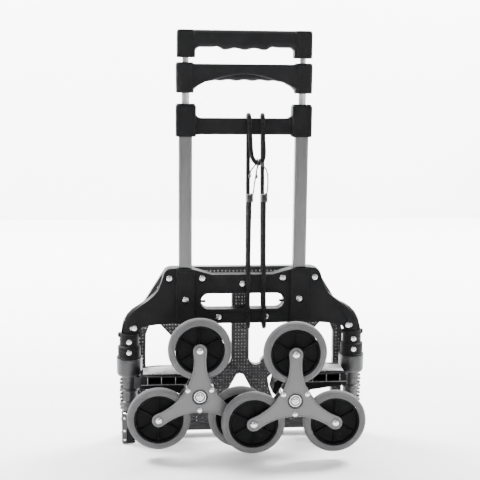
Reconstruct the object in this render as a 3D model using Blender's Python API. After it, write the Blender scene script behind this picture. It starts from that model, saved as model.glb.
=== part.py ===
"""Folding stair-climbing hand trolley, folded: two swinging tri-star wheel
clusters, a two-stage telescopic handle, a fold-up toe plate and a bungee cord.

Lengths below are millimetres. X is across the trolley, Y runs from the wheels
(negative) to the toe plate (positive), Z is up. y = 0 is the wheel-side face of
the frame bracket and z = 0 is 15 mm above the soles of the feet, level with the
lowest wheels; put() moves both to the row origin, which is the bottom centre of
the whole trolley.
"""

import math

import bmesh
import bpy
from mathutils import Vector

# ---------------------------------------------------------------- dimensions
REAR = 31.7             # bracket face to the middle of the overall depth
LIFT = 15.0             # the feet reach this far below the wheels
GAP = 0.3               # clearance between touching pieces

TUBE_X, TUBE_Y = 95.0, 11.0      # frame tube axes
TUBE_W, TUBE_D = 22.0, 18.0      # frame tube section
TUBE_WALL = 1.5
TUBE_Z = (196.0, 545.0)
STAGE2_R, STAGE2_BORE = 6.25, 5.3
STAGE2_Z = (262.0, 608.0)
STAGE3_R = 5.0
STAGE3_Z = (300.0, 656.0)
BRACKET_T = 22.0                 # thickness of the two shells together
SPLIT_Y = 11.0
COL_X, COL_Y = 188.0, 9.0        # swing columns
POST_R = 9.0
POST_Z = (-9.0, 197.0)
HUB_X, HUB_Z = 75.0, 88.0        # tri-star hubs
ARM_R = 76.0                     # hub to wheel axle
FACE_Y = {"left": -77.0, "right": -107.0}  # front face of each star plate
PLATE_T = 2.5
WHEEL_R, WHEEL_W = 51.3, 16.0
RIM_R = 39.5
AXLE_R = 3.0
TOE_Y = (31.0, 44.0)             # load face and back edge of the toe plate
TOE_PIVOT = (37.5, 3.0)          # its hinge axis in Y, Z
CORD_R = 3.6

for stale in list(bpy.data.objects):
    bpy.data.objects.remove(stale, do_unlink=True)


def put(x, y, z):
    return Vector((x * 0.001, (y + REAR) * 0.001, (z + LIFT) * 0.001))


# ---------------------------------------------------------------- materials
def material(name, colour, rough, metal=0.0):
    made = bpy.data.materials.new(name)
    made.use_nodes = True
    shader = made.node_tree.nodes["Principled BSDF"]
    shader.inputs["Base Color"].default_value = (*colour, 1.0)
    shader.inputs["Roughness"].default_value = rough
    shader.inputs["Metallic"].default_value = metal
    return made


BLACK = material("black_plastic", (0.018, 0.018, 0.019), 0.5)
GRIP = material("grip_plastic", (0.028, 0.028, 0.030), 0.42)
TYRE = material("grey_tyre", (0.17, 0.17, 0.17), 0.62)
PLATE = material("silver_paint", (0.48, 0.48, 0.48), 0.4, 0.6)
ALU = material("anodised_tube", (0.40, 0.40, 0.41), 0.38, 0.9)
ZINC = material("zinc_steel", (0.62, 0.62, 0.62), 0.28, 1.0)
CAST = material("cast_alloy", (0.45, 0.45, 0.46), 0.45, 0.8)
TOE = material("toe_plastic", (0.06, 0.06, 0.062), 0.5)
CORDM = material("cord_cover", (0.02, 0.02, 0.021), 0.85)
WIRE = material("black_wire", (0.02, 0.02, 0.021), 0.35, 0.3)


# ---------------------------------------------------------------- mesh tools
def node(name, bm, mat, smooth=None):
    bmesh.ops.recalc_face_normals(bm, faces=bm.faces)
    mesh = bpy.data.meshes.new(name)
    bm.to_mesh(mesh)
    bm.free()
    mesh.materials.append(mat)
    obj = bpy.data.objects.new(name, mesh)
    bpy.context.scene.collection.objects.link(obj)
    if smooth is not None:
        mesh.shade_smooth()
        mesh.set_sharp_from_angle(angle=math.radians(smooth))
    return obj


def prism(bm, outline, low, high, axis="Y"):
    """A closed prism on a polygon: (x, z) along Y, (y, z) along X, (x, y) along Z."""
    order = {
        "Y": lambda u, v, w: put(u, w, v),
        "X": lambda u, v, w: put(w, u, v),
        "Z": lambda u, v, w: put(u, v, w),
    }[axis]
    rings = [[bm.verts.new(order(u, v, w)) for u, v in outline] for w in (low, high)]
    count = len(outline)
    for i in range(count):
        j = (i + 1) % count
        bm.faces.new((rings[0][i], rings[0][j], rings[1][j], rings[1][i]))
    bm.faces.new(rings[0][::-1])
    bm.faces.new(rings[1])
    return bm


def block(bm, x0, x1, y0, y1, z0, z1):
    return prism(bm, [(x0, z0), (x1, z0), (x1, z1), (x0, z1)], y0, y1)


def turned(bm, centre, profile, segs, axis="Y", phase=0.5):
    """A profile of (radius, height) points turned about an axis through centre.

    A profile that starts and ends on the axis is solid; one that never meets it
    is closed into a ring.
    """
    cx, cy, cz = centre
    rings = []
    for r, h in profile:
        ring = []
        for i in range(1 if r <= 0 else segs):
            a = 2 * math.pi * (i + phase) / segs
            u, v = r * math.cos(a), r * math.sin(a)
            spot = {
                "Y": (cx + u, cy + h, cz + v),
                "X": (cx + h, cy + u, cz + v),
                "Z": (cx + u, cy + v, cz + h),
            }[axis]
            ring.append(bm.verts.new(put(*spot)))
        rings.append(ring)
    solid = profile[0][0] <= 0 and profile[-1][0] <= 0
    pairs = list(zip(rings, rings[1:]))
    if not solid:
        pairs.append((rings[-1], rings[0]))
    for a, b in pairs:
        for i in range(segs):
            j = (i + 1) % segs
            if len(a) == 1 and len(b) == 1:
                continue
            if len(a) == 1:
                bm.faces.new((a[0], b[j], b[i]))
            elif len(b) == 1:
                bm.faces.new((a[i], a[j], b[0]))
            else:
                bm.faces.new((a[i], a[j], b[j], b[i]))
    return bm


def rod(bm, centre, radius, low, high, segs, axis="Y", phase=0.5):
    return turned(bm, centre, [(0, low), (radius, low), (radius, high), (0, high)], segs, axis, phase)


def bore(outer, inner, low, high):
    return [(outer, low), (outer, high), (inner, high), (inner, low)]


def apply_boolean(obj, other, operation="DIFFERENCE"):
    modifier = obj.modifiers.new("boolean", "BOOLEAN")
    modifier.object = other
    modifier.operation = operation
    modifier.solver = "EXACT"
    bpy.context.view_layer.update()
    graph = bpy.context.evaluated_depsgraph_get()
    mesh = bpy.data.meshes.new_from_object(obj.evaluated_get(graph))
    old = obj.data
    obj.modifiers.clear()
    obj.data = mesh
    mesh.name = obj.name
    bpy.data.meshes.remove(old)
    bpy.data.objects.remove(other, do_unlink=True)
    return obj


def cut(obj, bm):
    return apply_boolean(obj, node("cutter", bm, BLACK))


def weld_on(obj, bm):
    return apply_boolean(obj, node("addition", bm, BLACK), "UNION")


def smooth(obj, angle=35):
    obj.data.shade_smooth()
    obj.data.set_sharp_from_angle(angle=math.radians(angle))
    return obj


def mirrored(points):
    return points + [(-x, z) for x, z in points[::-1] if abs(x) > 1e-6]


def arc(cx, cz, r, a0, a1, n):
    return [
        (cx + r * math.cos(math.radians(a0 + (a1 - a0) * i / (n - 1))),
         cz + r * math.sin(math.radians(a0 + (a1 - a0) * i / (n - 1))))
        for i in range(n)
    ]


SIDES = {"left": -1, "right": 1}

# ---------------------------------------------------------------- frame bracket
BRACKET = mirrored([
    (0, 272), (50, 272.2), (78, 280), (92, 284), (111, 283.5), (124, 281.5),
    (129.5, 275), (133, 262), (141, 244), (157, 229.5), (170, 219), (184.5, 208),
    (194.5, 194), (199.5, 184), (201, 174.6), (174, 174.6), (166.5, 181.5),
    (158, 185.3), (138, 188.3), (118, 189.5), (0, 189.5),
])
SLOT = arc(56, 227, 13.2, -90, 90, 7) + arc(-56, 227, 13.2, 90, 270, 7)
SCREWS = [(0, 256)] + [
    (side * x, z)
    for side in (-1, 1)
    for x, z in ((121.5, 266), (67.2, 265.6), (95.0, 230.4), (39.5, 199.5), (180, 183.4))
]


def bracket(name, inner, outer, bulge):
    """One shell, from the split plane to its outer face, raised over each tube and column."""
    obj = node(name, prism(bmesh.new(), BRACKET, min(inner, outer), max(inner, outer)), BLACK)
    pads = bmesh.new()
    for s in (-1, 1):
        ends = sorted((inner, outer + bulge))
        block(pads, s * TUBE_X - 15, s * TUBE_X + 15, *ends, 190.5, 281.5)
        edge = [(166, 176), (168, 190), (178, 200), (190, 196.5), (197.5, 184), (199, 176)]
        prism(pads, [(s * x, z) for x, z in edge], *ends)
    weld_on(obj, pads)
    cutters = bmesh.new()
    prism(cutters, SLOT, -10, 40)
    for s in (-1, 1):
        block(cutters, s * TUBE_X - 11 - GAP, s * TUBE_X + 11 + GAP,
              TUBE_Y - 9 - GAP, TUBE_Y + 9 + GAP, TUBE_Z[0] - GAP, 300)
        rod(cutters, (s * COL_X, COL_Y, 0), POST_R + 0.35, 170, POST_Z[1] + GAP, 16, "Z")
    cut(obj, cutters)
    return obj


def screw_face(x):
    """The bracket's wheel-side surface at a screw: the raised pads or the flat face."""
    return -3.0 if abs(abs(x) - TUBE_X) < 15 or abs(x) > 165 else 0.0


rear = bracket("frame_bracket_rear", SPLIT_Y - GAP / 2, 0.0, -3.0)
front = bracket("frame_bracket_front", SPLIT_Y + GAP / 2, BRACKET_T, 2.5)
for shell, deep in ((rear, False), (front, True)):
    cutters = bmesh.new()
    for x, z in SCREWS:
        face = screw_face(x)
        if deep:
            rod(cutters, (x, 0, z), 2.4, 5.0, 19.4, 6)
        else:
            turned(cutters, (x, 0, z), [(0, -10), (7, -10), (7, face + 3.2), (2.4, face + 3.2), (2.4, 16), (0, 16)], 9)
    cut(shell, cutters)

# ---------------------------------------------------------------- frame tubes, yoke
def rounded(w, d, r, cx, cy, n=3):
    spots = []
    for qx, qy, a in ((1, 1, 0), (-1, 1, 90), (-1, -1, 180), (1, -1, 270)):
        spots += arc(cx + qx * (w / 2 - r), cy + qy * (d / 2 - r), r, a, a + 90, n)
    return spots


for side, s in SIDES.items():
    tube = node(f"frame_tube_{side}", prism(bmesh.new(), rounded(TUBE_W, TUBE_D, 4, s * TUBE_X, TUBE_Y), *TUBE_Z, "Z"), ALU)
    hollow = bmesh.new()
    prism(hollow, rounded(TUBE_W - 3, TUBE_D - 3, 2.5, s * TUBE_X, TUBE_Y), TUBE_Z[0] - 5, TUBE_Z[1] + 5, "Z")
    cut(tube, hollow)
    holes = bmesh.new()
    rod(holes, (s * TUBE_X, 0, 230.4), 2.4, -5, 30, 8)
    cut(tube, holes)
    smooth(tube, 50)

yoke_line = mirrored([(0, 529), (70, 529), (75, 530.2), (78.2, 532.8), (81, 538.5), (83, 538.5), (83, 502.5), (0, 502.5)])
yoke = node("yoke", prism(bmesh.new(), yoke_line, 3, 19), BLACK)
sockets = bmesh.new()
for s in (-1, 1):
    prism(sockets, [(s * 79, 502), (s * 81.5, 499), (s * 108.5, 499), (s * 111, 502), (s * 111, 546), (s * 108, 551.4), (s * 82, 551.4), (s * 79, 546)], -3.5, 25.5)
weld_on(yoke, sockets)
passages, necks = bmesh.new(), bmesh.new()
for s in (-1, 1):
    block(passages, s * TUBE_X - 11 - GAP, s * TUBE_X + 11 + GAP, TUBE_Y - 9 - GAP, TUBE_Y + 9 + GAP, 490, TUBE_Z[1] + GAP)
    rod(necks, (s * TUBE_X, TUBE_Y, 0), STAGE2_R + 0.7, 540, 560, 14, "Z", 0.3)
cut(yoke, passages)
cut(yoke, necks)

for side, s in SIDES.items():
    node(f"guide_bush_{side}", turned(bmesh.new(), (s * TUBE_X, TUBE_Y, 0), bore(7.2, STAGE2_R + GAP, 521, 544.6), 12, "Z"), BLACK, 40)

# ---------------------------------------------------------------- telescopic tubes and handles
sliding = {"mid": [], "top": []}
for side, s in SIDES.items():
    spot = (s * TUBE_X, TUBE_Y, 0)
    sliding["mid"].append(node(f"stage2_tube_{side}", turned(bmesh.new(), spot, bore(STAGE2_R, STAGE2_BORE, *STAGE2_Z), 12, "Z"), ALU, 40))
    sliding["top"].append(node(f"stage3_tube_{side}", turned(bmesh.new(), spot, bore(STAGE3_R, STAGE3_R - 1.2, *STAGE3_Z), 12, "Z"), ALU, 40))

mid_line = mirrored([
    (0, 615.4), (78, 615.8), (79, 617.6), (111, 617.6), (111, 569), (82, 569), (80.5, 577),
    (72, 581), (64, 588), (50, 591), (30, 593), (10, 592.6), (0, 593),
])
mid = node("mid_handle", prism(bmesh.new(), mid_line, -1, 23), GRIP)
legs = bmesh.new()
for s in (-1, 1):
    prism(legs, rounded(29, 29, 8, s * 96, TUBE_Y, 4), 569, 617.6, "Z")
weld_on(mid, legs)
bores = bmesh.new()
for s in (-1, 1):
    turned(bores, (s * TUBE_X, TUBE_Y, 0), [(0, 560), (STAGE2_R + GAP, 560), (STAGE2_R + GAP, STAGE2_Z[1] + GAP),
           (STAGE3_R + 0.6, STAGE2_Z[1] + GAP), (STAGE3_R + 0.6, 625), (0, 625)], 12, "Z")
cut(mid, bores)

top_line = mirrored([
    (0, 669), (104, 668.6), (108, 666), (108, 625), (81.5, 625), (80, 633), (75, 641),
    (60, 641.5), (50, 642), (36, 638.5), (22, 641), (0, 638.6),
])
top = node("top_handle", prism(bmesh.new(), top_line, 0, 22), GRIP)
legs = bmesh.new()
for s in (-1, 1):
    prism(legs, rounded(26.5, 27, 7, s * 94.75, TUBE_Y, 4), 625, 668.6, "Z")
weld_on(top, legs)
bores = bmesh.new()
for s in (-1, 1):
    rod(bores, (s * TUBE_X, TUBE_Y, 0), STAGE3_R + GAP, 620, STAGE3_Z[1] + GAP, 12, "Z")
cut(top, bores)

# ---------------------------------------------------------------- columns and feet
for side, s in SIDES.items():
    axis = (s * COL_X, COL_Y, 0)
    post = node(f"column_post_{side}", turned(bmesh.new(), axis, bore(POST_R, POST_R - 2, *POST_Z), 16, "Z"), ZINC)
    sleeve = node(f"column_sleeve_{side}", turned(bmesh.new(), axis, [
        (16, 174.2), (16, 153), (19, 151.5), (19, 133.6), (21.3, 133.2), (21.3, 131.4), (POST_R + GAP, 131.4), (POST_R + GAP, 174.2)], 16, "Z"), BLACK)
    seats, holes = bmesh.new(), bmesh.new()
    for z, reach in ((161, -6.0), (143.6, -8.6)):
        rod(seats, (s * COL_X, 0, z), 6.2, -30, reach, 8)
        rod(holes, (s * COL_X, 0, z), 2.3, -30, COL_Y - 2, 6)
    cut(sleeve, seats)
    cut(sleeve, holes)
    holes = bmesh.new()
    rod(holes, (s * COL_X, 0, 161), 2.3, -30, COL_Y - 2, 6)
    rod(holes, (s * COL_X, 0, 143.6), 2.3, -30, COL_Y - 2, 6)
    rod(holes, (s * COL_X, 0, 183.4), 2.4, -30, 30, 6)
    cut(post, holes)
    smooth(sleeve)
    smooth(post)
    node(f"cup_{side}", turned(bmesh.new(), axis, [
        (21.5, 131.1), (21.5, 107), (19, 101.8), (POST_R + GAP, 101.8), (POST_R + GAP, 131.1)], 20, "Z"), CAST, 30)

    foot = node(f"foot_block_{side}", prism(bmesh.new(), [
        (-2, -14), (0, -15), (45, -15), (47, -13), (47, 10), (44, 13), (22, 16), (20, 38.5), (-2, 38.5)], s * 179.5, s * 198.5, "X"), BLACK)
    holes = bmesh.new()
    rod(holes, axis, POST_R + GAP, POST_Z[0] - GAP, 45, 16, "Z")
    rod(holes, (0, TOE_PIVOT[0], TOE_PIVOT[1]), 3.3, s * 170, s * 192.3, 10, "X")
    cut(foot, holes)
    holes = bmesh.new()
    for y, z in ((0.0, 28.0), (33.0, -8.0)):
        rod(holes, (0, y, z), 2.1, s * 186 if y > 1 else s * 190, s * 205, 8, "X")
    cut(foot, holes)
    plate = node(f"foot_plate_{side}", prism(bmesh.new(), [
        (-4, -10), (0, -14.4), (38, -14.4), (42, -10), (42, 4), (24, 12), (22, 39), (-4, 39)], s * 198.8, s * 201.3, "X"), CAST)
    holes = bmesh.new()
    for y, z in ((0.0, 28.0), (33.0, -8.0)):
        rod(holes, (0, y, z), 2.1, s * 195, s * 205, 8, "X")
    cut(plate, holes)

# ---------------------------------------------------------------- swing arms
parts_of = {"left_swing": [], "right_swing": [], "left_star": [], "right_star": [], "toe": []}
for side, s in SIDES.items():
    axis = (s * COL_X, COL_Y, 0)
    face = FACE_Y[side]
    boss_end = face + 29.5
    knuckle = node(f"swing_knuckle_{side}", turned(bmesh.new(), axis, [
        (13.5, 101.2), (13.5, 79.5), (16, 78.5), (16, 75.5), (13, 74.5), (13, 58.5), (15.5, 57), (15.5, 45), (13, 39.2),
        (POST_R + 0.4, 39.2), (POST_R + 0.4, 101.2)], 16, "Z"), CAST)
    web = bmesh.new()
    prism(web, [(s * x, z) for x, z in (
        (180.5, 80), (180.5, 100.6), (167, 100.6), (165, 116.5), (159, 118.5), (140, 120), (112, 119.6), (93, 117.6), (88, 114.9), (88, 100), (150, 84))], -3.6, 1.2)
    weld_on(knuckle, web)
    shelf = bmesh.new()
    prism(shelf, [(s * x, z) for x, z in (
        (165.5, 114.8), (164, 117), (158, 118.8), (140, 120), (112, 119.6), (93, 117.6), (88, 114.8))], -38, -3.0)
    weld_on(knuckle, shelf)
    smooth(knuckle)
    arm = node(f"swing_arm_{side}", prism(bmesh.new(), [(s * x, z) for x, z in (
        (170, 110), (166, 114.5), (62, 111), (50, 100), (46, 83), (60, 70), (92, 71), (110, 86), (170, 94))], -46, -4), BLACK)
    boss = bmesh.new()
    rod(boss, (s * HUB_X, 0, HUB_Z), 15, boss_end, -10, 16)
    weld_on(arm, boss)
    hollow = bmesh.new()
    for x0, x1 in ((92, 112), (114, 134.5), (137, 157)):
        block(hollow, min(s * x0, s * x1), max(s * x0, s * x1), -60, -12, 101, 111.3)
    rod(hollow, (s * HUB_X, 0, HUB_Z), 6.3, boss_end - 10, -14, 12)
    cut(arm, hollow)
    axle = node(f"hub_axle_{side}", turned(bmesh.new(), (s * HUB_X, 0, HUB_Z), [
        (0, face - 3.2), (3.4, face - 3.0), (5.2, face - 1.6), (5.2, face - 0.9), (6, face - 0.9), (6, -14.4), (0, -14.4)], 12), ZINC, 40)
    parts_of[f"{side}_swing"] += [knuckle, arm, axle]

# ---------------------------------------------------------------- tri-stars and wheels
def star_outline(cx, cz, lobe, waist, arms=(90, 210, 330)):
    """Three round lobes joined by concave arcs tangent to them."""
    d = (ARM_R ** 2 - (waist - lobe) ** 2) / (ARM_R + 2 * (lobe - waist))
    spots = []
    for a in arms:
        lx, lz = ARM_R * math.cos(math.radians(a)), ARM_R * math.sin(math.radians(a))
        before, after = a - 60, a + 60
        ends = []
        for b in (before, after):
            bx, bz = d * math.cos(math.radians(b)), d * math.sin(math.radians(b))
            ends.append(math.degrees(math.atan2(bz - lz, bx - lx)))
        while ends[1] < ends[0]:
            ends[1] += 360
        spots += arc(lx, lz, lobe, ends[0], ends[1], 6)
        bx, bz = d * math.cos(math.radians(after)), d * math.sin(math.radians(after))
        nx, nz = ARM_R * math.cos(math.radians(a + 120)), ARM_R * math.sin(math.radians(a + 120))
        t0 = math.degrees(math.atan2(lz - bz, lx - bx))
        t1 = math.degrees(math.atan2(nz - bz, nx - bx))
        while t1 > t0:
            t1 -= 360
        spots += arc(bx, bz, d - waist, t0, t1, 6)[1:-1]
    return [(cx + x, cz + z) for x, z in spots]


for side, s in SIDES.items():
    face = FACE_Y[side]
    hub = (s * HUB_X, 0, HUB_Z)
    line = star_outline(s * HUB_X, HUB_Z, 11.2, 26.0)
    back = face + PLATE_T + 0.8 + WHEEL_W + 0.8
    spots = [(s * HUB_X + ARM_R * math.cos(math.radians(a)), HUB_Z + ARM_R * math.sin(math.radians(a))) for a in (90, 210, 330)]
    rivet_at = [(s * HUB_X + 22 * math.cos(math.radians(a)), HUB_Z + 22 * math.sin(math.radians(a))) for a in (30, 150, 270)]
    for place, low in (("front", face), ("rear", back)):
        plate = node(f"star_plate_{place}_{side}", prism(bmesh.new(), line, low, low + PLATE_T), PLATE)
        holes = bmesh.new()
        rod(holes, hub, 12.5, low - 5, low + 8, 14)
        for x, z in spots:
            rod(holes, (x, 0, z), AXLE_R + GAP, low - 5, low + 8, 8)
        if place == "front":
            for x, z in rivet_at:
                rod(holes, (x, 0, z), 2.6 + GAP, low - 5, low + 8, 8)
        cut(plate, holes)
        if place == "rear":
            studs = bmesh.new()
            for x, z in rivet_at:
                turned(studs, (x, 0, z), [(0, face - 2.4), (2.6, face - 2.2), (4.4, face - 0.8), (4.4, face - GAP), (2.6, face - GAP), (2.6, face + PLATE_T + GAP),
                       (4.6, face + PLATE_T + GAP), (4.6, back + PLATE_T / 2), (0, back + PLATE_T / 2)], 8)
            weld_on(plate, studs)
        parts_of[f"{side}_star"].append(plate)
    bush = node(f"hub_bearing_{side}", turned(bmesh.new(), hub, [
        (6.4, face - 0.6), (12.2, face - 0.6), (12.2, face + PLATE_T + 0.4), (9.6, face + PLATE_T + 0.8), (9.6, back - 0.8), (12.2, back - 0.4),
        (12.2, back + PLATE_T + 0.6), (6.4, back + PLATE_T + 0.6)], 14), ZINC, 30)
    parts_of[f"{side}_star"].append(bush)
    for number, (x, z) in enumerate(spots, 1):
        parts_of[f"{side}_star"].append(node(f"wheel_bolt_{side}_{number}", turned(bmesh.new(), (x, 0, z), [
            (0, face - 3.4), (3.2, face - 3.2), (5.6, face - 1.6), (5.6, face - GAP), (AXLE_R, face - GAP), (AXLE_R, back + PLATE_T + GAP),
            (4.6, back + PLATE_T + GAP), (4.6, back + PLATE_T + 1.8), (0, back + PLATE_T + 1.8)], 10), ZINC, 40))
    middle = face + PLATE_T + 0.8 + WHEEL_W / 2
    for number, (x, z) in enumerate(spots, 1):
        h = WHEEL_W / 2
        tyre = node(f"tyre_{side}_{number}", turned(bmesh.new(), (x, middle, z), [
            (RIM_R + GAP, -h), (47, -h), (WHEEL_R, -3.5), (WHEEL_R, 3.5), (47, h), (RIM_R + GAP, h)], 18), TYRE, 50)
        core = node(f"wheel_core_{side}_{number}", turned(bmesh.new(), (x, middle, z), [
            (AXLE_R + GAP, -h), (9, -h), (9, -3), (RIM_R - 2, -3), (RIM_R, -h + 1), (RIM_R, h - 1), (RIM_R - 2, 3), (9, 3), (9, h), (AXLE_R + GAP, h)], 18), BLACK, 40)
        parts_of[f"{side}_wheel_{number}"] = [tyre, core]

# ---------------------------------------------------------------- toe plate
OUTLINE = [(0, 280), (120, 280), (128, 276.5), (148, 244), (167, 214), (172, 190), (176, 160), (177, 60), (176, -3), (170, -7), (0, -7)]
toe = node("toe_plate", prism(bmesh.new(), mirrored(OUTLINE), TOE_Y[0], TOE_Y[1]), TOE)
INNER = [(0, 276), (118, 276), (125, 273.5), (144.5, 242), (163, 213), (168, 189), (172, 160), (173, 60), (173, 14), (150, 14), (0, 14)]
pocket = bmesh.new()
prism(pocket, mirrored(INNER), TOE_Y[0] + 4.5, TOE_Y[1] + 5)
for s in (-1, 1):
    prism(pocket, [(s * x, z) for x, z in (
        [(15, 250), (15, 120.5)] + arc(28, 120.5, 13, 180, 300, 5) + [(36, 115.5), (140, 231), (128, 250)])], 20, 60)
    prism(pocket, [(s * x, z) for x, z in (
        (48, 84), (51, 66), (66, 26), (158, 26), (161, 120), (160, 165), (150, 190), (145, 191))], 20, 60)
prism(pocket, mirrored([(0, 93), (6, 91), (14, 76), (40, 26), (0, 26)]), 20, 60)
cut(toe, pocket)
wells = bmesh.new()
for s in (-1, 1):
    rod(wells, (0, TOE_PIVOT[0], TOE_PIVOT[1]), 3.3, s * 163.5, s * 180, 10, "X")
cut(toe, wells)
for side, s in SIDES.items():
    node(f"toe_hinge_pin_{side}", rod(bmesh.new(), (0, TOE_PIVOT[0], TOE_PIVOT[1]), 3.0, s * 164, s * 192, 10, "X"), ZINC, 40)
parts_of["toe"].append(toe)

# ---------------------------------------------------------------- bungee cord
def smooth_route(points, count):
    """Points along a Catmull-Rom curve through the given ones, closer together in its bends."""
    fine = []
    padded = [points[0]] + points + [points[-1]]
    for p0, p1, p2, p3 in zip(padded, padded[1:], padded[2:], padded[3:]):
        a, b, c, d = Vector(p0), Vector(p1), Vector(p2), Vector(p3)
        for i in range(16):
            t = i / 16
            fine.append(0.5 * ((2 * b) + (c - a) * t + (2 * a - 5 * b + 4 * c - d) * t * t + (3 * b - a - 3 * c + d) * t ** 3))
    fine.append(Vector(points[-1]))
    lengths = [0.0]
    for i, (a, b) in enumerate(zip(fine, fine[1:])):
        turn = (fine[i + 1] - fine[i]).angle(fine[i + 2] - fine[i + 1], 0.0) if i + 2 < len(fine) else 0.0
        lengths.append(lengths[-1] + (b - a).length / 40 + turn / 0.36)
    spots, j = [], 0
    for i in range(count):
        goal = lengths[-1] * i / (count - 1)
        while j < len(lengths) - 2 and lengths[j + 1] < goal:
            j += 1
        t = (goal - lengths[j]) / max(lengths[j + 1] - lengths[j], 1e-9)
        spots.append(fine[j].lerp(fine[j + 1], t))
    return spots


def cord(name, points, count, radius, mat, sides=2):
    spots = smooth_route(points, count)
    curve = bpy.data.curves.new(name, "CURVE")
    curve.dimensions = "3D"
    curve.bevel_depth = radius * 0.001
    curve.bevel_resolution = sides
    curve.use_fill_caps = True
    spline = curve.splines.new("POLY")
    spline.points.add(len(spots) - 1)
    for point, spot in zip(spline.points, spots):
        point.co = (*put(*spot), 1.0)
    curve.materials.append(mat)
    obj = bpy.data.objects.new(name, curve)
    bpy.context.scene.collection.objects.link(obj)
    return obj


ROUTE = [
    (9.5, -4.6, 402), (9, -4.6, 360), (8.5, -4.6, 300), (8.5, -4.6, 230), (9, -4.6, 200), (9.6, -4.2, 188),
    (10.5, 4, 182.0), (11, 11, 180.6), (11, 19, 182.2), (10.8, 26.3, 188), (10.6, 26.9, 200), (10.4, 26.5, 250), (10, 26, 320),
    (9.5, 25, 400), (9, 24.4, 470), (8.6, 23.8, 512), (8.4, 23.3, 524), (8.2, 22.2, 531.4), (8, 18.5, 533.8), (7.8, 11, 534.4), (7.6, 3.5, 533.8), (7.8, -0.2, 531.4), (8.2, -1.5, 524), (8.8, -2.2, 510),
    (9.8, -3, 495), (11.0, -4.6, 476), (14.2, -6.6, 463.6), (22.4, -7.2, 456.6), (30.0, -6.4, 463),
    (31.8, -4.4, 476), (30.8, -3, 495), (30.2, -2.2, 510), (29.9, -1.5, 524), (29.9, -0.2, 531.4), (30, 3.5, 533.8), (30.5, 11, 534.4), (31, 18.5, 533.8), (31.2, 22.2, 531.4), (31.6, 23.3, 524), (32, 23.8, 512), (32.8, 24.4, 470),
    (33.6, 25, 400), (34.6, 26, 320), (36, 26.5, 250), (37, 26.9, 200), (37.4, 26.3, 188),
    (37.6, 19, 182.2), (37.4, 11, 180.6), (37, 4, 182.0), (36.4, -4.2, 188),
    (36, -4.6, 200), (35, -4.6, 230), (33.8, -4.6, 300), (33.2, -4.6, 360), (33, -4.6, 402),
]
cord("bungee_cord", ROUTE, 70, CORD_R, CORDM)
HOOKS = {
    "left": [(14.5, -9.5, 408.6), (16, -12.8, 425), (19, -14.2, 445), (20.8, -13.6, 455.4), (20.9, -11.6, 461.4), (20.9, -7.2, 463.8),
             (20.8, -2.8, 461.6), (20.4, -0.8, 457), (15, 0.4, 449.5), (10.8, 0.6, 443), (9.8, 0.4, 436)],
    "right": [(37, -8.4, 408.6), (38, -11.6, 430), (35, -14.2, 447), (27.5, -14.6, 455), (24.8, -12.8, 461), (24.4, -9.8, 463.6), (24.3, -6.6, 464.2),
              (24.3, -2.8, 461.8), (24.2, -0.8, 458), (22.5, 0.8, 450), (20.5, 1.0, 443), (20.8, 0.6, 435)],
}
for side, points in HOOKS.items():
    cord(f"bungee_hook_{side}", points, 20, 1.2, WIRE, 1)

# ---------------------------------------------------------------- moving groups
def pivot(name, spot, members, parent=None):
    empty = bpy.data.objects.new(name, None)
    bpy.context.scene.collection.objects.link(empty)
    empty.location = put(*spot)
    bpy.context.view_layer.update()
    if parent:
        empty.parent = parent
        empty.matrix_parent_inverse = parent.matrix_world.inverted()
        bpy.context.view_layer.update()
    for obj in members:
        obj.parent = empty
        obj.matrix_parent_inverse = empty.matrix_world.inverted()
    return empty


for side, s in SIDES.items():
    swing = pivot(f"pivot_{side}_swing", (s * COL_X, COL_Y, HUB_Z), parts_of[f"{side}_swing"])
    star = pivot(f"pivot_{side}_star", (s * HUB_X, FACE_Y[side], HUB_Z), parts_of[f"{side}_star"], swing)
    for number, a in enumerate((90, 210, 330), 1):
        spot = (s * HUB_X + ARM_R * math.cos(math.radians(a)), FACE_Y[side], HUB_Z + ARM_R * math.sin(math.radians(a)))
        pivot(f"pivot_{side}_wheel_{number}", spot, parts_of[f"{side}_wheel_{number}"], star)
pivot("pivot_toe", (0, *TOE_PIVOT), parts_of["toe"])
slide_mid = pivot("slide_mid", (0, TUBE_Y, 600), [mid, *sliding["mid"]])
pivot("slide_top", (0, TUBE_Y, 650), [top, *sliding["top"]], slide_mid)
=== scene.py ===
"""The looks of the folding stair-climbing hand trolley: its finished surfaces,
floor, lights and camera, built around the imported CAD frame.

Lengths in the modelling calls are millimetres in the trolley's working frame:
X across, Y from the wheels to the toe plate with 0 on the bracket's face, Z up
from the lowest point of the wheels. put() turns them into the row frame.
"""

import math

import bmesh
import bpy
from mathutils import Matrix, Vector


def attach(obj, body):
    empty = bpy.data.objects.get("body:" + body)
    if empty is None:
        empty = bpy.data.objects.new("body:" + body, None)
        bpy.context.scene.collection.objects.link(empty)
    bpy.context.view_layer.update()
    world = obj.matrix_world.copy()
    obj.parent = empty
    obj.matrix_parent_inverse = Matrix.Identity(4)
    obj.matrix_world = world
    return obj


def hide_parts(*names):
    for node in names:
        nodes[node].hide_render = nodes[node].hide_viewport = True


REAR, LIFT = 31.7, 15.0
TUBE_X, TUBE_Y = 95.0, 11.0
COL_X, COL_Y = 188.0, 9.0
HUB_X, HUB_Z, ARM_R = 75.0, 88.0, 76.0
FACE_Y = {"left": -77.0, "right": -107.0}
SIDES = {"left": -1, "right": 1}
SPOKES = (90, 210, 330)

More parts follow.
